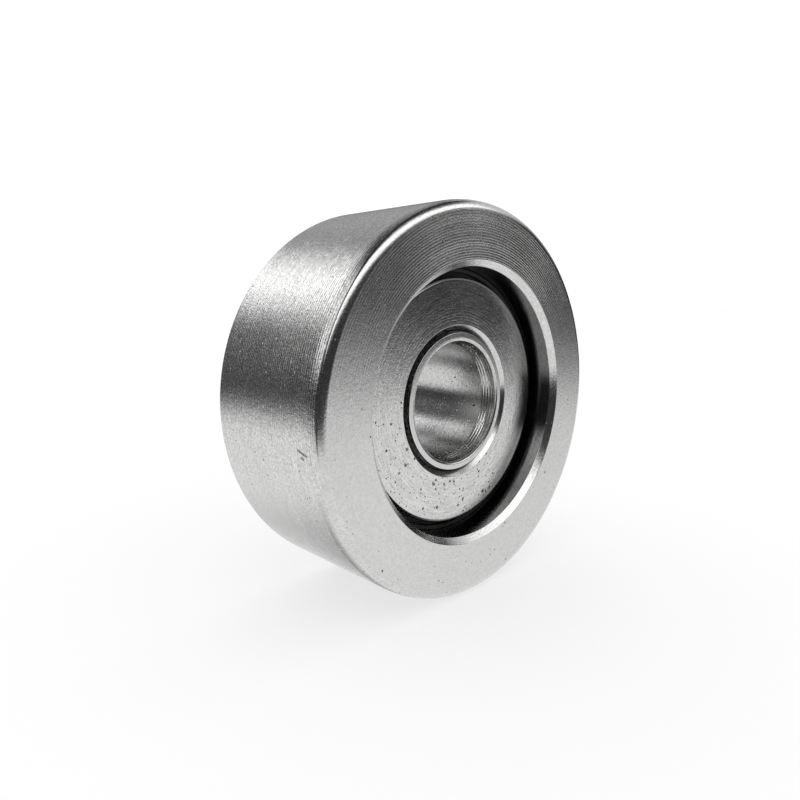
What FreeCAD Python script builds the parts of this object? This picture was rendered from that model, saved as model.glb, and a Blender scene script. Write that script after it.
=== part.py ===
import FreeCAD, Part
import math
import os

"""Yoke-type cam follower (needle-roller track roller), 40 mm outside diameter, 16 mm wide, 12 mm bore.

A thick-walled outer ring turns on a caged needle-roller set that runs on an inner ring, bored for
a stud or bolt. Two side plates are pressed on the inner ring's spigots, deep in recesses in the
outer ring's faces, and hold the outer ring along the axis. The front plate is flush with the inner
ring's end. At the rear the spigot runs on as a hub that stands just proud of the outer ring. A lip
seal in each recess closes the gap behind its side plate.

Frame: origin at the centre of the roller, axis of rotation along Y, +Z up, front face at -Y.
All sizes in millimetres.
"""

Vector = FreeCAD.Vector
ORIGIN = Vector(0, 0, 0)
AXIS = Vector(0, 1, 0)

# Outer ring
outer_diameter = 40.0
outer_width = 16.0
front_corner_radius = 1.1        # round between the tread and the front face
rear_corner_radius = 0.5
recess_diameter = 27.4           # counterbore that takes the side plate
recess_depth = 4.55              # from the outer ring's face to its shoulder
mouth_chamfer_radial = 0.6       # chamfer round the recess mouth
mouth_chamfer_axial = 0.6
recess_root_radius = 0.2
shoulder_chamfer = 0.25          # where the shoulder meets the raceway

# Needle-roller set
roller_count = 18
roller_diameter = 2.5
roller_length = 5.8
roller_edge_radius = 0.15
inner_raceway_diameter = 17.0
raceway_play = 0.01              # radial play left at each raceway
cage_thickness = 1.6             # radial, centred on the pitch circle
cage_width = 7.6
cage_edge_chamfer = 0.15
pocket_play = 0.05               # round a roller in its pocket, and at each end

# Inner ring
bore_diameter = 12.0
bore_mouth_diameter = 13.2       # wide end of the countersink, on the front end
lead_in_diameter = 12.6          # wide end of the taper, below the countersink
countersink_depth = 0.12
lead_in_length = 1.75            # from the front end to the plain bore
rear_bore_chamfer = 0.5
hub_proud = 0.5                  # rear end, past the outer ring's rear face
hub_chamfer = 0.3
spigot_diameter = 14.8           # seat that each side plate is pressed on
spigot_lead_radial = 0.29        # steep lead that the front plate is pressed over
spigot_lead_axial = 0.6
collar_chamfer = 0.2             # at each end of the raceway

# Side plates
plate_diameter = 25.4
plate_thickness = 1.35
plate_set_back = 2.7             # from the outer ring's face down to the plate's outer face
plate_rim_radius = 0.35
plate_back_radius = 0.2
plate_bore_chamfer = 0.52        # on the outer face
plate_back_bore_chamfer = 0.15

# Lip seals
seal_inner_radius = 11.5
seal_web = 0.34                  # thickness of the flat web on the shoulder
seal_collar_inner_radius = 13.25
seal_collar_height = 0.9         # from the shoulder
seal_collar_root_radius = 0.12   # between the web and the collar
seal_collar_rim_radius = 0.1
seal_root_clearance = 0.05       # corner chamfer's excess over the round at the recess root
seal_lip_radius = 12.05
seal_lip_width = 0.24            # nominal; the tip is half as wide
seal_lip_flare = 0.12            # extra width on the inner side of the lip's foot
seal_lip_play = 0.02             # left between the lip and the side plate

# Derived sizes. Axial places are distances from the mid plane.
half_width = outer_width / 2.0
plate_face = half_width - plate_set_back
plate_back = plate_face - plate_thickness
shoulder = half_width - recess_depth
recess_radius = recess_diameter / 2.0
spigot_radius = spigot_diameter / 2.0
roller_radius = roller_diameter / 2.0
pitch_radius = inner_raceway_diameter / 2.0 + roller_radius
inner_raceway_radius = inner_raceway_diameter / 2.0 - raceway_play
outer_raceway_radius = inner_raceway_diameter / 2.0 + roller_diameter + raceway_play


# ---------------------------------------------------------------- helpers
def profile_corner(before, corner, after):
    """Start, middle and end of a corner's tangent arc. A sharp corner has no middle."""
    point = Vector(corner[0], corner[1], 0)
    radius = corner[2]
    if radius <= 0:
        return point, None, point
    to_before = (Vector(before[0], before[1], 0) - point).normalize()
    to_after = (Vector(after[0], after[1], 0) - point).normalize()
    half_angle = math.acos(max(-1.0, min(1.0, to_before.dot(to_after)))) / 2.0
    setback = radius / math.tan(half_angle)
    bisector = (to_before + to_after).normalize()
    centre = point + bisector * (radius / math.sin(half_angle))
    middle = centre + (point - centre).normalize() * radius
    return point + to_before * setback, middle, point + to_after * setback


def rounded_wire(points):
    """Closed wire in the XY plane from (radius, y, corner round) points; X is the radius."""
    count = len(points)
    corners = [
        profile_corner(points[i - 1], points[i], points[(i + 1) % count]) for i in range(count)
    ]
    edges = []
    for i, (start, middle, end) in enumerate(corners):
        if middle is not None:
            edges.append(Part.Arc(start, middle, end).toShape())
        next_start = corners[(i + 1) % count][0]
        if (next_start - end).Length > 1e-7:
            edges.append(Part.makeLine(end, next_start))
    return Part.Wire(edges)


def turned(points):
    """Solid of revolution about the Y axis."""
    solid = Part.Face(rounded_wire(points)).revolve(ORIGIN, AXIS, 360)
    if solid.Volume < 0:
        solid.reverse()
    return solid


def mirrored(solid):
    """The same piece on the other side of the mid plane."""
    return solid.mirror(ORIGIN, AXIS)


def roller_centre(i):
    """X and Z of a roller's axis. The first is at the top, the next ones go round towards +X."""
    angle = math.radians(90.0 - i * 360.0 / roller_count)
    return pitch_radius * math.cos(angle), pitch_radius * math.sin(angle)


# ---------------------------------------------------------------- pieces
# Profile rows are (radius, y, corner round).
def outer_ring():
    tread = outer_diameter / 2.0
    rear_recess = [
        (outer_raceway_radius, shoulder - shoulder_chamfer, 0),
        (outer_raceway_radius + shoulder_chamfer, shoulder, 0),
        (recess_radius, shoulder, recess_root_radius),
        (recess_radius, half_width - mouth_chamfer_axial, 0),
        (recess_radius + mouth_chamfer_radial, half_width, 0),
    ]
    front_recess = [(radius, -y, corner) for radius, y, corner in reversed(rear_recess)]
    tread_corners = [
        (tread, half_width, rear_corner_radius),
        (tread, -half_width, front_corner_radius),
    ]
    return turned(rear_recess + tread_corners + front_recess)


def inner_ring():
    bore = bore_diameter / 2.0
    raceway = inner_raceway_radius
    hub_end = half_width + hub_proud
    front = [
        (raceway, -(plate_back - collar_chamfer), 0),
        (raceway - collar_chamfer, -plate_back, 0),
        (spigot_radius, -plate_back, 0),
        (spigot_radius, -(plate_face - spigot_lead_axial), 0),
        (spigot_radius - spigot_lead_radial, -plate_face, 0),
        (bore_mouth_diameter / 2.0, -plate_face, 0),
        (lead_in_diameter / 2.0, -(plate_face - countersink_depth), 0),
        (bore, -(plate_face - lead_in_length), 0),
    ]
    rear = [
        (bore, hub_end - rear_bore_chamfer, 0),
        (bore + rear_bore_chamfer, hub_end, 0),
        (spigot_radius - hub_chamfer, hub_end, 0),
        (spigot_radius, hub_end - hub_chamfer, 0),
        (spigot_radius, plate_back, 0),
        (raceway - collar_chamfer, plate_back, 0),
        (raceway, plate_back - collar_chamfer, 0),
    ]
    return turned(front + rear)


def front_side_plate():
    rim = plate_diameter / 2.0
    return turned([
        (spigot_radius, -(plate_back + plate_back_bore_chamfer), 0),
        (spigot_radius, -(plate_face - plate_bore_chamfer), 0),
        (spigot_radius + plate_bore_chamfer, -plate_face, 0),
        (rim, -plate_face, plate_rim_radius),
        (rim, -plate_back, plate_back_radius),
        (spigot_radius + plate_back_bore_chamfer, -plate_back, 0),
    ])


def front_lip_seal():
    """A web on the shoulder, a collar on the recess wall and a lip up to the plate's back."""
    web_face = shoulder + seal_web
    lip_tip = plate_back - seal_lip_play
    half_lip = seal_lip_width / 2.0
    collar_end = shoulder + seal_collar_height
    root_chamfer = recess_root_radius + seal_root_clearance
    return turned([
        (seal_inner_radius, -shoulder, 0),
        (seal_inner_radius, -web_face, 0),
        (seal_lip_radius - half_lip - seal_lip_flare, -web_face, 0),
        (seal_lip_radius - half_lip / 2.0, -lip_tip, 0),
        (seal_lip_radius + half_lip / 2.0, -lip_tip, 0),
        (seal_lip_radius + half_lip, -web_face, 0),
        (seal_collar_inner_radius, -web_face, seal_collar_root_radius),
        (seal_collar_inner_radius, -collar_end, seal_collar_rim_radius),
        (recess_radius, -collar_end, seal_collar_rim_radius),
        (recess_radius, -(shoulder + root_chamfer), 0),
        (recess_radius - root_chamfer, -shoulder, 0),
    ])


def roller_cage():
    inner = pitch_radius - cage_thickness / 2.0
    outer = pitch_radius + cage_thickness / 2.0
    end = cage_width / 2.0
    chamfer = cage_edge_chamfer
    ring = turned([
        (inner + chamfer, end, 0), (outer - chamfer, end, 0),
        (outer, end - chamfer, 0), (outer, -(end - chamfer), 0),
        (outer - chamfer, -end, 0), (inner + chamfer, -end, 0),
        (inner, -(end - chamfer), 0), (inner, end - chamfer, 0),
    ])
    pocket_radius = roller_radius + pocket_play
    pocket_length = roller_length + 2 * pocket_play
    pockets = []
    for i in range(roller_count):
        x, z = roller_centre(i)
        base = Vector(x, -pocket_length / 2.0, z)
        pockets.append(Part.makeCylinder(pocket_radius, pocket_length, base, AXIS))
    return ring.cut(pockets[0].multiFuse(pockets[1:]))


def needle_roller(i):
    end = roller_length / 2.0
    solid = turned([
        (0, end, 0), (roller_radius, end, roller_edge_radius),
        (roller_radius, -end, roller_edge_radius), (0, -end, 0),
    ])
    x, z = roller_centre(i)
    solid.translate(Vector(x, 0, z))
    return solid


def build_pieces():
    plate = front_side_plate()
    seal = front_lip_seal()
    pieces = {
        "outer_ring": outer_ring(),
        "inner_ring": inner_ring(),
        "front_side_plate": plate,
        "rear_side_plate": mirrored(plate),
        "front_lip_seal": seal,
        "rear_lip_seal": mirrored(seal),
        "roller_cage": roller_cage(),
    }
    for i in range(roller_count):
        pieces["needle_roller_%02d" % (i + 1)] = needle_roller(i)
    return pieces


def export(name, shape):
    """Write a piece's one solid to its STEP file."""
    solids = shape.Solids
    if len(solids) != 1 or not solids[0].isValid() or solids[0].Volume <= 0:
        raise RuntimeError("%s is not one valid solid" % name)
    solids[0].exportStep("parts/%s.step" % name)


os.makedirs("parts", exist_ok=True)
for name, shape in build_pieces().items():
    export(name, shape)
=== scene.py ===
"""Looks of a yoke-type cam follower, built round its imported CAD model.

The axis of the follower is Y and its mid plane is y = 0. The front is -Y, the left is -X and up
is +Z. It stands with its tread on the floor. Sizes are millimetres unless a comment says otherwise.
"""

import math
import random
from collections import namedtuple

import bpy
from mathutils import Matrix, Vector


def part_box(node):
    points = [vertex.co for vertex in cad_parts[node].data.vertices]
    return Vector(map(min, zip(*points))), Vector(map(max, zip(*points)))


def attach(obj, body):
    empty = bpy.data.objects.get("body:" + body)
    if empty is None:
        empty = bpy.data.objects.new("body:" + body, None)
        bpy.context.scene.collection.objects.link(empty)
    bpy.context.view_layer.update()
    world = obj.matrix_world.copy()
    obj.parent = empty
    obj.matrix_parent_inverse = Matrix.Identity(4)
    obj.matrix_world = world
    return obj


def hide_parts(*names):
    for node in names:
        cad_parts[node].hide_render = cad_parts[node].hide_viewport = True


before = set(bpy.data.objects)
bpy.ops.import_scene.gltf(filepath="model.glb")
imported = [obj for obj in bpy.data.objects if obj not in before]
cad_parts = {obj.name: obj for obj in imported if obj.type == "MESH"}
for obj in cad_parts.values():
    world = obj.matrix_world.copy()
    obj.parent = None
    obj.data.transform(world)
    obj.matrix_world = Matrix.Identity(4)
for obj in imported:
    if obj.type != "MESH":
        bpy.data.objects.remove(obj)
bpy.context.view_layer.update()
MM = 0.001


def box_mm(node):
    lo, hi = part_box(node)
    return lo / MM, hi / MM


ring_hi = box_mm("outer_ring")[1]
core_hi = box_mm("inner_ring")[1]
plate_lo, plate_hi = box_mm("front_side_plate")
seal_lo, seal_hi = box_mm("front_lip_seal")

# radii end in _R; distances from the mid plane end in _Y
RING_R, RING_Y = ring_hi.z, ring_hi.y            # outer ring
RECESS_R, SHOULDER_Y = seal_hi.z, -seal_hi.y     # recess wall and shoulder, where the seal sits
OUTER_RACE_R = 11.01
MOUTH = 0.6                                      # chamfer round the recess mouth
RACE_CHAMFER = 0.25                              # chamfer between outer raceway and shoulder

INNER_RACE_R, HUB_Y = core_hi.z, core_hi.y       # inner raceway, rear end of the hub
BORE_R = 6.0
SPIGOT_R = 7.4
END_R = 7.11                                     # outside of the inner ring's front end
LEAD = 1.75                                      # length of the tapered lead-in
BORE_CHAMFER = 0.5                               # at the rear end of the bore
HUB_CHAMFER = 0.3
RACE_EDGE = 0.2                                  # chamfer at each end of the inner raceway

PLATE_R = plate_hi.z
FACE_Y, BACK_Y = -plate_lo.y, -plate_hi.y        # outward and inward faces of a side plate
PLATE_CHAMFER = 0.52                             # round the plate's hole, on the outward face
PLATE_BACK_CHAMFER = 0.15                        # the same on the inward face

SEAL_R = 11.5                                    # inner edge of the seal
SEAL_WEB = 0.34                                  # thickness of its flat web
SEAL_RIM_R = 13.25                               # where the web steps up to the thick rim
SEAL_CHAMFER = 0.25
LIP_R = 12.05
LIP_ROOT, LIP_TIP = 0.24, 0.06                   # half widths of the lip
LIP_GAP = 0.02                                   # between lip and side plate

EDGE = 0.045                                     # break on an edge that the drawing leaves sharp

# finishes, as material slots of the turned pieces; the outer ring's DULL slot and every GROOVE slot
# carry painted shade
BODY, FACED, CUT, DULL, GROOVE = range(5)

# ridges that a lathe tool leaves; fade is the length over which they die out at each end
Ridges = namedtuple("Ridges", "pitch depth fade")
FACE_RIDGES = Ridges(pitch=0.28, depth=0.0030, fade=0.4)
PLATE_RIDGES = Ridges(pitch=0.30, depth=0.0022, fade=0.3)
TAPER_RIDGES = Ridges(pitch=0.33, depth=0.075, fade=0.10)
MOUTH_RIDGES = Ridges(pitch=0.32, depth=0.055, fade=0.02)
HUB_RIDGES = Ridges(pitch=0.2, depth=0.0015, fade=0.1)

# ---------------------------------------------------------------- turned meshes
STEPS_PER_RIDGE = 6
LONGEST_STEP = 1.6                               # along a plain edge
GUARD = 0.04                                     # from a round to the first point on its edge
SHORTEST_EDGE = 0.1                              # shorter edges get no points of their own
SHORTEST_STEP = 0.008                            # closer points are dropped

Corner = namedtuple("Corner", "point radius ridges zone round_zone")


def corner(r, y, radius=EDGE, ridges=None, zone=BODY, round_zone=None):
    """One corner of a profile. ridges and zone, the finish, belong to the edge that leaves it;
    round_zone is the finish of its own round."""
    return Corner(Vector((r, y)), radius, ridges, zone, zone if round_zone is None else round_zone)


def mirrored(profile):
    """The profile on the other side of the mid plane, run backwards so that it still runs
    counter-clockwise. What belongs to an edge stays with that edge."""
    flipped = []
    for i in reversed(range(len(profile))):
        here, before = profile[i], profile[i - 1]
        point = Vector((here.point.x, -here.point.y))
        flipped.append(here._replace(point=point, ridges=before.ridges, zone=before.zone))
    return flipped


def rounded(before, here, after):
    """The points of one corner's round."""
    point, radius = here.point, here.radius
    to_before = (before.point - point).normalized()
    to_after = (after.point - point).normalized()
    half = math.acos(to_before.dot(to_after)) / 2.0
    reach = radius / math.tan(half)
    centre = point + (to_before + to_after).normalized() * (radius / math.sin(half))
    first = point + to_before * reach - centre
    last = point + to_after * reach - centre
    start = math.atan2(first.y, first.x)
    turn = (math.atan2(last.y, last.x) - start + math.pi) % (2 * math.pi) - math.pi
    steps = max(3, math.ceil(abs(turn) / math.radians(5.0 if radius > 0.4 else 18.0)))
    angles = [start + turn * k / steps for k in range(steps + 1)]
    return [centre + Vector((math.cos(a), math.sin(a))) * radius for a in angles]


def plain_edge(start, along, length):
    guard = min(GUARD, length * 0.2)
    steps = max(1, int(length / LONGEST_STEP))
    marks = [guard] + [length * k / steps for k in range(1, steps)] + [length - guard]
    return [start + along * s for s in marks]


def ridged_edge(start, along, length, ridges, rng):
    inward = Vector((-along.y, along.x))         # the material is on the left of travel
    count = max(1, round(length / ridges.pitch))
    points = []
    for k in range(count):
        share = rng.uniform(0.4, 1.0)            # of the full depth
        for m in range(STEPS_PER_RIDGE):
            s = (k + m / STEPS_PER_RIDGE) / count * length
            if s <= 0:
                continue
            ramp = max(0.0, min(1.0, s / ridges.fade, (length - s) / ridges.fade))
            wave = 0.5 - 0.5 * math.cos(2 * math.pi * m / STEPS_PER_RIDGE)
            points.append(start + along * s + inward * (ridges.depth * share * wave * ramp))
    return points


def outline(profile, rng):
    """(point, zone of the step that leaves it) all the way round a closed profile."""
    n = len(profile)
    rounds = [rounded(profile[i - 1], profile[i], profile[(i + 1) % n]) for i in range(n)]
    steps = []
    for i, here in enumerate(profile):
        steps.extend((point, here.round_zone) for point in rounds[i][:-1])
        start, end = rounds[i][-1], rounds[(i + 1) % n][0]
        steps.append((start, here.zone))
        length = (end - start).length
        if length < SHORTEST_EDGE:
            continue
        along = (end - start) / length
        if here.ridges is None:
            points = plain_edge(start, along, length)
        else:
            points = ridged_edge(start, along, length, here.ridges, rng)
        steps.extend((point, here.zone) for point in points)
    spaced = [steps[0]]
    for step in steps:
        if (step[0] - spaced[-1][0]).length > SHORTEST_STEP:
            spaced.append(step)
    if (spaced[-1][0] - spaced[0][0]).length <= SHORTEST_STEP:
        spaced.pop()
    return spaced


def turned(name, profile, segments, seed):
    """A closed ring turned about the Y axis, each face in its step's zone."""
    steps = outline(profile, random.Random(seed))
    n = len(steps)
    verts, faces, zones = [], [], []
    for j in range(segments):
        angle = 2 * math.pi * j / segments
        c, s = math.cos(angle), math.sin(angle)
        verts.extend((p.x * c * MM, p.y * MM, p.x * s * MM) for p, _ in steps)
    for j in range(segments):
        k = (j + 1) % segments
        for i in range(n):
            m = (i + 1) % n
            faces.append((j * n + i, k * n + i, k * n + m, j * n + m))
            zones.append(steps[i][1])
    mesh = bpy.data.meshes.new(name)
    mesh.from_pydata(verts, [], faces)
    mesh.polygons.foreach_set("material_index", zones)
    mesh.polygons.foreach_set("use_smooth", [True] * len(faces))
    mesh.update()
    obj = bpy.data.objects.new(name, mesh)
    bpy.context.scene.collection.objects.link(obj)
    return obj


# ---------------------------------------------------------------- profiles
# Each runs counter-clockwise in (r, y). The columns are r, y and the radius of the round.
def outer_ring_profile():
    """The front outer corner is broken by two flats between rounds, the rear one by one round."""
    wall, race = RECESS_R, OUTER_RACE_R
    return [
        corner(wall + MOUTH, -RING_Y, ridges=FACE_RIDGES, zone=FACED),
        corner(RING_R - 0.964, -RING_Y, 0.4, zone=CUT, round_zone=FACED),
        corner(RING_R - 0.582, -(RING_Y - 0.081), 1.4, zone=CUT),
        corner(RING_R - 0.222, -(RING_Y - 0.383), 0.45, zone=BODY, round_zone=CUT),
        corner(RING_R, -(RING_Y - 0.994), 3.0, zone=BODY),
        corner(RING_R, RING_Y, 0.5, ridges=FACE_RIDGES, zone=FACED, round_zone=CUT),
        corner(wall + MOUTH, RING_Y, zone=CUT),
        corner(wall, RING_Y - MOUTH, zone=DULL, round_zone=CUT),
        corner(wall, SHOULDER_Y, 0.2, zone=DULL),
        corner(race + RACE_CHAMFER, SHOULDER_Y, zone=DULL),
        corner(race, SHOULDER_Y - RACE_CHAMFER, zone=DULL),
        corner(race, -(SHOULDER_Y - RACE_CHAMFER), zone=DULL),
        corner(race + RACE_CHAMFER, -SHOULDER_Y, zone=DULL),
        corner(wall, -SHOULDER_Y, 0.2, zone=DULL),
        corner(wall, -(RING_Y - MOUTH), zone=CUT),
    ]


def inner_ring_profile():
    race = INNER_RACE_R
    return [
        corner(BORE_R, -(FACE_Y - LEAD), 0.1, ridges=TAPER_RIDGES, zone=CUT),
        corner(BORE_R + 0.30, -(FACE_Y - 0.12), 0.04, ridges=MOUTH_RIDGES, zone=BODY),
        corner(BORE_R + 0.60, -FACE_Y, 0.04, zone=FACED),
        corner(END_R, -FACE_Y, 0.07, zone=GROOVE, round_zone=CUT),
        corner(SPIGOT_R, -(FACE_Y - 0.6), 0.06, zone=GROOVE),
        corner(SPIGOT_R, -BACK_Y, 0.03, zone=DULL),
        corner(race - RACE_EDGE, -BACK_Y, zone=DULL),
        corner(race, -(BACK_Y - RACE_EDGE), zone=DULL),
        corner(race, BACK_Y - RACE_EDGE, zone=DULL),
        corner(race - RACE_EDGE, BACK_Y, zone=DULL),
        corner(SPIGOT_R, BACK_Y, 0.03, zone=CUT),
        corner(SPIGOT_R, HUB_Y - HUB_CHAMFER, 0.06, zone=CUT),
        corner(SPIGOT_R - HUB_CHAMFER, HUB_Y, 0.06, ridges=HUB_RIDGES, zone=FACED),
        corner(BORE_R + BORE_CHAMFER, HUB_Y, zone=CUT),
        corner(BORE_R, HUB_Y - BORE_CHAMFER, zone=BODY),
    ]


def front_plate_profile():
    return [
        corner(SPIGOT_R, -(BACK_Y + PLATE_BACK_CHAMFER), 0.03, zone=GROOVE),
        corner(SPIGOT_R, -(FACE_Y - PLATE_CHAMFER), 0.03, zone=CUT),
        corner(SPIGOT_R + PLATE_CHAMFER, -FACE_Y, 0.05, ridges=PLATE_RIDGES, zone=FACED),
        corner(PLATE_R, -FACE_Y, 0.35, zone=DULL, round_zone=CUT),
        corner(PLATE_R, -BACK_Y, 0.2, zone=DULL),
        corner(SPIGOT_R + PLATE_BACK_CHAMFER, -BACK_Y, 0.03, zone=DULL),
    ]


def front_seal_profile():
    web, tip = -(SHOULDER_Y + SEAL_WEB), -(BACK_Y - LIP_GAP)
    return [
        corner(SEAL_R, -SHOULDER_Y, 0.03),
        corner(SEAL_R, web, 0.03),
        corner(LIP_R - LIP_ROOT, web, 0.03),
        corner(LIP_R - LIP_TIP, tip, 0.02),
        corner(LIP_R + LIP_TIP, tip, 0.02),
        corner(LIP_R + LIP_ROOT, web, 0.03),
        corner(SEAL_RIM_R, web, 0.12),
        corner(SEAL_RIM_R, seal_lo.y, 0.1),
        corner(RECESS_R, seal_lo.y, 0.1),
        corner(RECESS_R, -(SHOULDER_Y + SEAL_CHAMFER), 0.03),
        corner(RECESS_R - SEAL_CHAMFER, -SHOULDER_Y, 0.03),
    ]


plate, seal = front_plate_profile(), front_seal_profile()
outer = turned("outer_ring_turned", outer_ring_profile(), segments=264, seed=11)
core = turned("inner_ring_turned", inner_ring_profile(), segments=288, seed=12)
front_plate = turned("front_side_plate_turned", plate, segments=256, seed=13)
rear_plate = turned("rear_side_plate_turned", mirrored(plate), segments=256, seed=14)
front_seal = turned("front_lip_seal_moulded", seal, segments=192, seed=15)
rear_seal = turned("rear_lip_seal_moulded", mirrored(seal), segments=192, seed=16)


# ---------------------------------------------------------------- shader graphs
class Value:
    """A node's output. Arithmetic on it adds math nodes to its graph."""

    def __init__(self, graph, socket):
        self.graph = graph
        self.socket = socket

    def __add__(self, other):
        return self.graph.math("ADD", self, other)

    def __radd__(self, other):
        return self.graph.math("ADD", other, self)

    def __sub__(self, other):
        return self.graph.math("SUBTRACT", self, other)

    def __rsub__(self, other):
        return self.graph.math("SUBTRACT", other, self)

    def __mul__(self, other):
        return self.graph.math("MULTIPLY", self, other)

    def __truediv__(self, other):
        return self.graph.math("DIVIDE", self, other)


class Graph:
    """The emptied node tree of a material or a world."""

    def __init__(self, owner):
        owner.use_nodes = True
        self.tree = owner.node_tree
        self.tree.nodes.clear()

    def node(self, kind, inputs=None, **settings):
        """A new node. inputs maps socket names or numbers to values; None leaves one alone."""
        node = self.tree.nodes.new(kind)
        for key, value in settings.items():
            setattr(node, key, value)
        for key, value in (inputs or {}).items():
            if isinstance(value, Value):
                self.tree.links.new(value.socket, node.inputs[key])
            elif value is not None:
                node.inputs[key].default_value = value
        return node

    def out(self, node, key=0):
        return Value(self, node.outputs[key])

    def math(self, operation, a, b=None, clamp=False):
        return self.out(self.node("ShaderNodeMath", {0: a, 1: b},
                                  operation=operation, use_clamp=clamp))

    def vec(self, operation, a, b=None):
        second = "Scale" if operation == "SCALE" else 1
        node = self.node("ShaderNodeVectorMath", {0: a, second: b}, operation=operation)
        return self.out(node, "Value" if operation in ("DOT_PRODUCT", "LENGTH") else "Vector")

    def ease(self, x, span, to=(0.0, 1.0)):
        """Smooth step from to[0] at span[0] to to[1] at span[1]."""
        return self.out(self.node("ShaderNodeMapRange", dict(enumerate((x, *span, *to))),
                                  interpolation_type="SMOOTHSTEP"))

    def xyz(self, x, y, z):
        return self.out(self.node("ShaderNodeCombineXYZ", {0: x, 1: y, 2: z}))

    def split(self, vector):
        node = self.node("ShaderNodeSeparateXYZ", {0: vector})
        return [self.out(node, k) for k in range(3)]

    def colour(self, red, green, blue):
        return self.out(self.node("ShaderNodeCombineColor", {0: red, 1: green, 2: blue}))

    def noise(self, vector, scale, detail=2.0, rough=0.5, w=None):
        inputs = {"Vector": vector, "W": w, "Scale": scale, "Detail": detail, "Roughness": rough}
        return self.out(self.node("ShaderNodeTexNoise", inputs,
                                  noise_dimensions="3D" if w is None else "4D"))

    def cells(self, vector, scale):
        """Distance to the nearest cell's centre, and that cell's three random numbers."""
        node = self.node("ShaderNodeTexVoronoi", {"Vector": vector, "Scale": scale},
                         feature="F1", voronoi_dimensions="3D")
        return self.out(node, "Distance"), self.split(self.out(node, "Color"))

    def object_mm(self):
        """Object coordinates in millimetres."""
        coords = self.out(self.node("ShaderNodeTexCoord"), "Object")
        return self.vec("SCALE", coords, 1000.0)

    def finish(self, height, **inputs):
        """Principled surface with a bump of the given height in millimetres."""
        bump = self.node("ShaderNodeBump", {"Distance": MM, "Height": height})
        inputs = {key.replace("_", " "): value for key, value in inputs.items()}
        inputs["Normal"] = self.out(bump, "Normal")
        shader = self.node("ShaderNodeBsdfPrincipled", inputs)
        self.node("ShaderNodeOutputMaterial", {0: self.out(shader)})


# ---------------------------------------------------------------- steel
# a point of the surface: its coordinates, the same shifted at random, and its place round the axis
Place = namedtuple("Place", "coord shift moved radius y cosine sine")


def surface_place(g, rng):
    coord = g.object_mm()
    x, y, z = g.split(coord)
    radius = g.math("SQRT", x * x + z * z)
    shift = Vector([rng.uniform(-50, 50) for _ in range(3)])
    moved = g.vec("ADD", coord, shift)
    return Place(coord, shift, moved, radius, y, x / radius, z / radius)


def facing(g, place, degrees, span):
    """1 on the side at this angle round the axis, from +X towards +Z, and 0 away from it."""
    angle = math.radians(degrees)
    return g.ease(place.cosine * math.cos(angle) + place.sine * math.sin(angle), span)


def feed_marks(g, place, pitch, patch, fresh):
    """Marks round the axis, even along the profile, wandering a little and worn in places."""
    along = place.radius + place.y
    wander = g.noise(g.xyz(along * 0.9, place.shift.x, place.shift.y), scale=1.0)
    wave = g.math("SINE", (along + wander * 0.22) * (2 * math.pi / pitch))
    if fresh is None:
        return wave * g.ease(patch, (0.42, 0.60), to=(0.15, 1.0))
    return wave * (0.12 + facing(g, place, fresh, (0.5, 0.92)) * 0.9)


def axial_lines(g, place):
    """Fine lines round the axis, long in that direction and narrow across it."""
    ring = g.xyz(place.cosine * 7.0, place.sine * 7.0, place.y * 4.5)
    across = place.radius * 4.5 + place.shift.z
    return g.noise(ring, scale=1.0, detail=4.0, rough=0.7, w=across)


def pit_masks(g, place, fine, share, pitted):
    for cells_per_mm, largest in ((1.6, 0.14), (3.4, 0.075)):
        distance, picks = g.cells(place.moved, cells_per_mm)
        size = g.ease(picks[0], (1.0 - share, 1.0)) * largest
        if pitted is not None:
            size = size * (0.1 + facing(g, place, pitted, (-0.1, 0.6)) * 0.9)
        ragged = distance / cells_per_mm + (fine - 0.5) * 0.10
        yield g.ease(size - ragged, (-0.01, 0.03))


def glint_mask(g, place, share):
    distance, picks = g.cells(place.moved, 2.6)
    size = g.ease(picks[1], (1.0 - share, 1.0)) * 0.28
    return g.ease(size - distance, (-0.02, 0.06))


def hairline_masks(g, place, rng):
    """Scratches: thin ridges of a stretched noise, in three directions."""
    for _ in range(3):
        angles = [rng.uniform(0, 3.1) for _ in range(3)]
        turn = g.node("ShaderNodeVectorRotate", rotation_type="EULER_XYZ",
                      inputs={"Vector": place.moved, "Rotation": angles})
        x, y, z = g.split(g.out(turn))
        stretched = g.noise(g.xyz(x * 0.10, y * 1.3, z * 1.3), scale=1.0, detail=1.0)
        line = g.ease(g.math("ABSOLUTE", stretched - 0.5), (0.0, 0.006), to=(1.0, 0.0))
        yield line * g.ease(g.noise(place.moved, scale=0.35, detail=1.0), (0.56, 0.66))


def nick_mask(g, place, fine, start, end, half):
    """A short ragged groove between two points."""
    start = Vector(start)
    span = Vector(end) - start
    offset = g.vec("SUBTRACT", place.coord, start)
    share = g.math("DIVIDE", g.vec("DOT_PRODUCT", offset, span), span.dot(span), clamp=True)
    gap = g.vec("LENGTH", g.vec("SUBTRACT", offset, g.vec("SCALE", span, share)))
    return g.ease(gap + (fine - 0.5) * (half * 1.1), (half * 0.15, half), to=(1.0, 0.0))


def profile_tangent(g):
    """Tangent along the profile: the lathe's lines spread a highlight across them."""
    geometry = g.node("ShaderNodeNewGeometry")
    x, _, z = g.split(g.out(geometry, "Position"))
    about = g.vec("NORMALIZE", g.xyz(z, 0.0, x * -1.0))
    return g.vec("NORMALIZE", g.vec("CROSS_PRODUCT", g.out(geometry, "Normal"), about))


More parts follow.
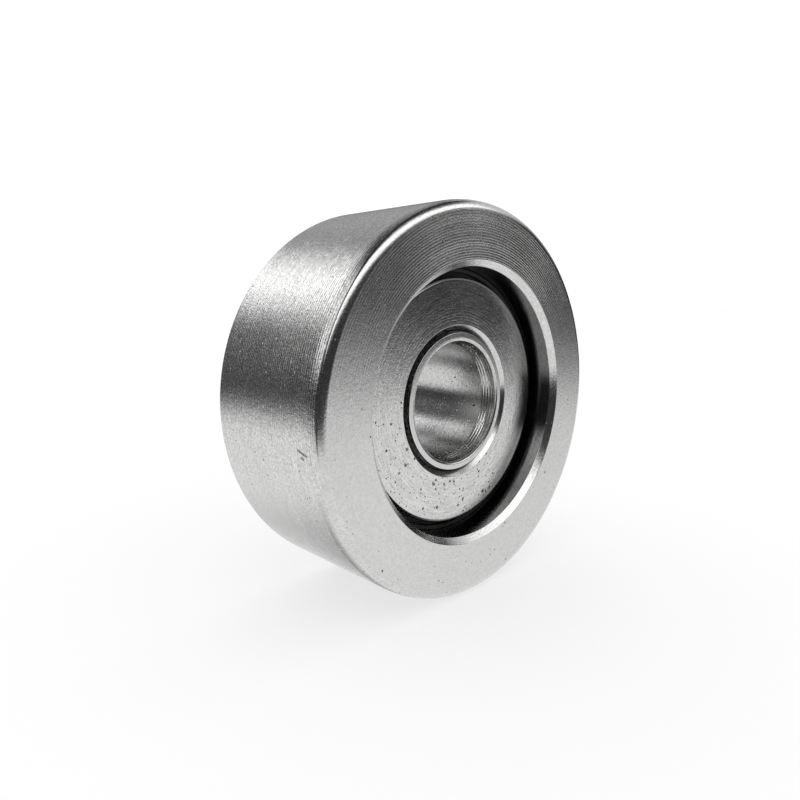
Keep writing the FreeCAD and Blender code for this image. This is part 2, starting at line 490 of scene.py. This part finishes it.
def steel(name, seed, tone=0.60, rough=0.27, aniso=0.55, marks=(0.28, 0.0010), streak=0.0012,
          grain=0.0016, pits=0.0, hair=0.5, nicks=(), speckle=(0.4, 0.2, 0.0), fresh=None,
          pitted=None, glints=0.0, gritty=None):
    """Turned and tumbled bearing steel. Heights are millimetres, angles degrees round the axis.

    marks: pitch and height of the feed marks; fresh: the angle where they are least worn
    streak, grain: heights of the fine lines round the axis and of the tumbled texture
    pits, glints: shares of small dark pits and of tiny bright specks, the specks lightened in
    colour as painted glints
    pitted, gritty: the angles where the pits gather and where the grain shows most
    hair: amount of hairline scratches; nicks: (start, end, half width, depth) of each
    speckle: how far the grain, the fine lines and the feed marks lighten and darken the metal
    """
    mat = bpy.data.materials.new(name)
    g = Graph(mat)
    rng = random.Random(seed)
    place = surface_place(g, rng)
    mark_pitch, mark_height = marks
    grain_tone, line_tone, mark_tone = speckle

    patch = g.noise(place.moved, scale=0.16)
    wave = feed_marks(g, place, mark_pitch, patch, fresh)
    lines = axial_lines(g, place)
    fine = g.noise(place.moved, scale=4.5, detail=3.0, rough=0.75)
    height = wave * mark_height + (lines - 0.5) * (streak * 4.0) + (fine - 0.5) * (grain * 4.0)

    hollows = []                                 # masks of what is sunk; the colour is darkened in them
    if pits > 0:
        for hole in pit_masks(g, place, fine, pits, pitted):
            height = height - hole * 0.03
            hollows.append(hole)
    bright = None
    if glints > 0:
        bright = glint_mask(g, place, glints)
        height = height + bright * 0.05
    if hair > 0:
        for scratch in hairline_masks(g, place, rng):
            height = height - scratch * (0.0016 * hair)
    for start, end, half, depth in nicks:
        groove_mask = nick_mask(g, place, fine, start, end, half)
        height = height - groove_mask * depth
        hollows.append(groove_mask * 0.7)

    # brightness: a slow cloud, the texture's speckle, darker pits and nicks; a hint of warmth
    if gritty is not None:
        grain_tone = (0.18 + facing(g, place, gritty, (0.2, 0.85)) * 0.82) * grain_tone
    cloud = g.noise(place.moved, scale=0.16, detail=3.0, rough=0.55)
    value = tone + (cloud - 0.5) * 0.08
    value = value + (fine - 0.5) * grain_tone + (lines - 0.5) * line_tone + wave * mark_tone
    roughness = rough + (patch - 0.5) * 0.1 + (lines - 0.5) * 0.06
    if hollows:
        dark = hollows[0]
        for mask in hollows[1:]:
            dark = g.math("MAXIMUM", dark, mask)
        value = value * (1.0 - dark * 0.85)
        roughness = roughness + dark * 0.25
    # painted highlight: the glint specks are lightened in colour; their added roughness and height
    # are real
    if bright is not None:
        value = value + bright * 0.4
        roughness = roughness + bright * 0.55

    g.finish(height, Metallic=1.0, Base_Color=g.colour(value, value, value * 0.992),
             Roughness=g.math("MAXIMUM", roughness, 0.05), Anisotropic=aniso,
             Tangent=profile_tangent(g))
    return mat


def rubber(name):
    """Matt black sealing rubber with a fine moulded grain and a bloom of dust."""
    mat = bpy.data.materials.new(name)
    g = Graph(mat)
    coord = g.object_mm()
    grain = g.noise(coord, scale=9.0, detail=3.0, rough=0.6)
    dust = g.ease(g.noise(coord, scale=0.5, detail=3.0, rough=0.6), (0.45, 0.7))
    value = 0.010 + dust * 0.012
    g.finish(grain * 0.01, Base_Color=g.colour(value, value, value), Roughness=0.55 + dust * 0.2)
    return mat


# ---------------------------------------------------------------- finishes
# nicks in the tread: start, end, half width, depth
TREAD_NICKS = (
    ((-19.92, -5.21, -1.78), (-19.89, -6.35, -2.10), 0.16, 0.02),
    ((-19.86, -5.60, -2.35), (-19.86, -5.90, -2.45), 0.14, 0.02),
    ((-19.25, -3.70, 5.43), (-19.20, -3.95, 5.60), 0.14, 0.02),
)
# nicks in the front plate's face: x and z of the start, then how far the end lies from it
PLATE_NICKS = (
    (-1.12, -8.29, 0.10, 0.05), (-0.49, -8.42, 0.05, 0.0), (-7.67, -5.26, 0.12, -0.08),
    (-8.47, -6.00, 0.05, 0.04), (-7.40, -3.82, 0.05, 0.1), (-3.70, -7.97, 0.18, -0.10),
    (0.21, -11.19, 0.10, 0.0), (1.01, -10.71, 0.06, 0.06), (4.37, -10.55, 0.12, 0.04),
    (-5.44, -8.23, 0.04, 0.04), (-3.07, -10.65, 0.08, 0.0),
)
plate_nicks = [
    ((x, -FACE_Y, z), (x + dx, -FACE_Y, z + dz), 0.15 + 0.03 * (k % 3), 0.03)
    for k, (x, z, dx, dz) in enumerate(PLATE_NICKS)
]

ring_tread = steel("steel_tread", seed=1, tone=0.62, rough=0.22, aniso=0.80,
                   marks=(0.29, 0.0055), streak=0.0022, grain=0.0060, pits=0.05,
                   speckle=(1.2, 0.4, 0.10), fresh=138, gritty=140, glints=0.10,
                   nicks=TREAD_NICKS)
ring_face = steel("steel_face", seed=2, tone=0.62, rough=0.25, aniso=0.6, marks=(0.25, 0.0065),
                  streak=0.001, grain=0.0028, pits=0.06, speckle=(0.30, 0.12, 0.12), fresh=84,
                  glints=0.04)
ring_cut = steel("steel_chamfer", seed=3, tone=0.62, rough=0.17, aniso=0.45,
                 marks=(0.14, 0.0008), grain=0.0025, pits=0.04, speckle=(0.5, 0.2, 0.0))
# painted shade: the recess wall, shoulders and outer raceway get a dark tone (0.20) that stands for
# the shade inside the recess
ring_recess_painted_shade = steel("steel_recess_painted_shade", seed=4, tone=0.20, rough=0.13, aniso=0.4,
                  marks=(0.2, 0.0008), grain=0.0010)
core_bore = steel("steel_bore", seed=5, tone=0.55, rough=0.15, aniso=0.5, marks=(0.16, 0.0012),
                  grain=0.0040, pits=0.04, speckle=(0.6, 0.3, 0.0), glints=0.30)
core_face = steel("steel_end", seed=6, rough=0.18, aniso=0.5, marks=(0.14, 0.0008),
                  grain=0.0020)
core_cut = steel("steel_lead_in", seed=7, tone=0.68, rough=0.12, aniso=0.3,
                 marks=(0.24, 0.0010), streak=0.002, grain=0.0030, speckle=(0.4, 0.4, 0.0),
                 glints=0.15)
core_dull = steel("steel_raceway", seed=8, rough=0.12, aniso=0.3, marks=(0.1, 0.0002),
                  grain=0.0004, hair=0.0)
disc_face = steel("steel_plate_face", seed=9, rough=0.16, marks=(0.30, 0.0010), streak=0.0014,
                  grain=0.003, pits=0.55, pitted=240, speckle=(0.6, 0.7, 0.03),
                  nicks=plate_nicks)
disc_cut = steel("steel_plate_edge", seed=10, rough=0.19, aniso=0.45, marks=(0.12, 0.0004),
                 grain=0.0010)
disc_dull = steel("steel_plate_back", seed=11, tone=0.50, rough=0.30, aniso=0.5, grain=0.0010)
# painted shade: the groove at the inner ring's front end and the walls of the plates' holes are
# near black (tone 0.05), standing for the shade in that deep gap
groove = steel("steel_groove_painted_shade", seed=14, tone=0.05, rough=0.4, aniso=0.2, marks=(0.1, 0.0004),
               grain=0.002)
roller_steel = steel("steel_roller", seed=12, tone=0.66, rough=0.10, aniso=0.2,
                     marks=(0.08, 0.0001), streak=0.0002, grain=0.0003, hair=0.3)
cage_steel = steel("steel_cage", seed=13, tone=0.45, rough=0.33, aniso=0.2,
                   marks=(0.2, 0.0004), grain=0.0018)
black_rubber = rubber("rubber_seal")

# materials in the order BODY, FACED, CUT, DULL, GROOVE
ring_mats = (ring_tread, ring_face, ring_cut, ring_recess_painted_shade)
core_mats = (core_bore, core_face, core_cut, core_dull, groove)
plate_mats = (disc_dull, disc_face, disc_cut, disc_dull, groove)
seal_mats = (black_rubber,)

# piece, materials, slot, the body it rides and the CAD node it replaces
PIECES = (
    (outer, ring_mats, "ring_steel", "outer_ring_set", "outer_ring"),
    (core, core_mats, "ring_steel", "inner_ring_set", "inner_ring"),
    (front_plate, plate_mats, "plate_steel", "inner_ring_set", "front_side_plate"),
    (rear_plate, plate_mats, "plate_steel", "inner_ring_set", "rear_side_plate"),
    (front_seal, seal_mats, "seal_rubber", "outer_ring_set", "front_lip_seal"),
    (rear_seal, seal_mats, "seal_rubber", "outer_ring_set", "rear_lip_seal"),
)
for piece, mats, slot, _, _ in PIECES:
    for mat in mats:
        piece.data.materials.append(mat)
for piece, _, _, body, node in PIECES:
    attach(piece, body)
    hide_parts(node)

# the rollers and their cage keep their CAD meshes
for name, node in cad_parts.items():
    if name.startswith("needle_roller") or name == "roller_cage":
        node.data.materials.clear()
        node.data.materials.append(cage_steel if name == "roller_cage" else roller_steel)


# ---------------------------------------------------------------- floor
def floor_paper():
    """White paper, partly glowing so that the contact shadow stays faint."""
    mat = bpy.data.materials.new("floor_paper")
    mat.use_nodes = True
    nodes, links = mat.node_tree.nodes, mat.node_tree.links
    paper = nodes["Principled BSDF"]
    paper.inputs["Base Color"].default_value = (0.93, 0.93, 0.93, 1)
    paper.inputs["Roughness"].default_value = 0.9
    glowing = nodes.new("ShaderNodeEmission")
    glowing.inputs["Color"].default_value = (1.0, 1.0, 1.0, 1)
    blend = nodes.new("ShaderNodeMixShader")
    blend.inputs[0].default_value = 0.6          # share of the glow
    links.new(paper.outputs[0], blend.inputs[1])
    links.new(glowing.outputs[0], blend.inputs[2])
    links.new(blend.outputs[0], nodes["Material Output"].inputs[0])
    return mat


def add_floor():
    half, z = 2.5, -RING_R * MM                  # metres
    mesh = bpy.data.meshes.new("floor")
    mesh.from_pydata([(-half, -half, z), (half, -half, z), (half, half, z), (-half, half, z)],
                     [], [(0, 1, 2, 3)])
    floor = bpy.data.objects.new("floor", mesh)
    bpy.context.scene.collection.objects.link(floor)
    floor.visible_glossy = False                 # the studio world carries its reflection
    mesh.materials.append(floor_paper())


# ---------------------------------------------------------------- studio
def view_axes(azimuth, elevation):
    """Right, up and outward for a direction in degrees; azimuth is 0 in front, 90 at the right."""
    a, e = math.radians(azimuth), math.radians(elevation)
    outward = Vector((math.sin(a) * math.cos(e), -math.cos(a) * math.cos(e), math.sin(e)))
    right = Vector((math.cos(a), math.sin(a), 0))
    return right, outward.cross(right), outward


# azimuth, elevation, half width, half height (degrees), softness of the edge, brightness
PANELS = (
    (1, 46.5, 54, 12, 0.25, 1.8),                # the big softbox above the front
    (74, 34, 17, 11, 0.4, 0.75),                 # its dimmer right end
    (110, 27, 16, 14, 0.5, 0.95),                # fill on the right
    (150, 35, 16, 17, 0.5, 0.55),                # fill at the rear right
    (-158, 18, 30, 34, 0.3, 0.10),               # grey wall behind
    (-171.5, 33, 14, 11, 0.35, 2.2),             # strip light behind
    (-114, 39, 10.5, 24, 0.25, 2.0),             # softbox at the rear left
)
BLACK_FLAG = (-74, -11, 20, 11, 0.3, 0.9)        # on the left; its brightness is what it takes away
ROOM = 0.045                                     # brightness of the dim room
PLAIN = 1.13                                     # brightness for rays that are not glossy


def panel(g, ray, azimuth, elevation, half_width, half_height, soft, level):
    """A soft rectangular light panel."""
    right, up, outward = view_axes(azimuth, elevation)
    ahead = g.math("MAXIMUM", g.vec("DOT_PRODUCT", ray, outward), 1e-3)
    inside = []
    for axis, half in ((right, half_width), (up, half_height)):
        off_centre = g.math("ABSOLUTE", g.vec("DOT_PRODUCT", ray, axis) / ahead)
        reach = math.tan(math.radians(half))
        inside.append(g.ease(off_centre, (reach * (1 + soft), reach * (1 - soft))))
    return inside[0] * inside[1] * level


def towards(g, ray, azimuth, span, to=(0.0, 1.0)):
    level_direction = view_axes(azimuth, 0)[2]
    return g.ease(g.vec("DOT_PRODUCT", ray, level_direction), span, to)


def add_world():
    world = bpy.data.worlds.new("studio")
    bpy.context.scene.world = world
    g = Graph(world)
    ray = g.vec("NORMALIZE", g.out(g.node("ShaderNodeTexCoord"), "Generated"))
    elevation = g.math("ARCSINE", g.split(ray)[2]) * (180 / math.pi)

    # the pale floor: its far edge is a little below eye level, lower on the left
    drop = towards(g, ray, -50, (0.3, 0.9), to=(0.0, 9.0))
    drop = drop + towards(g, ray, -150, (0.3, 0.8), to=(0.0, 1.3))
    glow = g.ease(elevation + drop, (-3.5, -10.5))
    glow = glow * (1.0 - panel(g, ray, *BLACK_FLAG))
    # the part's own shade on the floor, towards the rear
    rear = towards(g, ray, 175, (0.45, 0.6))
    glow = glow * (1.0 - g.ease(elevation, (-37.0, -46.0)) * rear * 0.75)
    glow = g.math("MAXIMUM", glow, ROOM)
    for values in PANELS:
        glow = g.math("MAXIMUM", glow, panel(g, ray, *values))

    glossy = g.out(g.node("ShaderNodeLightPath"), "Is Glossy Ray")
    seen = glow * glossy + (1.0 - glossy) * PLAIN
    background = g.node("ShaderNodeBackground", {"Color": g.colour(seen, seen, seen)})
    g.node("ShaderNodeOutputWorld", {0: g.out(background)})
    # it looks different to glossy rays, so it is only sampled along them
    world.cycles.sampling_method = "NONE"


# ---------------------------------------------------------------- camera
CAM_AZIMUTH, CAM_ELEVATION = -43.7793, 9.2577    # degrees
# distance, and how far the view is moved left and down, in outer ring radii
CAM_DISTANCE, CAM_LEFT, CAM_DOWN = 3.4309, 0.1177, 0.0215


def add_camera():
    right, up, back = view_axes(CAM_AZIMUTH, CAM_ELEVATION)
    data = bpy.data.cameras.new("camera")
    camera = bpy.data.objects.new("camera", data)
    bpy.context.scene.collection.objects.link(camera)
    place = (back * CAM_DISTANCE - right * CAM_LEFT - up * CAM_DOWN) * RING_R * MM
    turn = Matrix((right, up, back)).transposed()
    camera.matrix_world = Matrix.Translation(place) @ turn.to_4x4()
    data.sensor_width = 36.0
    data.lens = 28.14615
    data.clip_start, data.clip_end = 0.001, 20.0  # metres
    bpy.context.scene.camera = camera


add_floor()
add_world()
add_camera()

view = bpy.context.scene.view_settings
view.view_transform = "Standard"
view.look = "None"
view.exposure = 0.0
view.gamma = 1.0
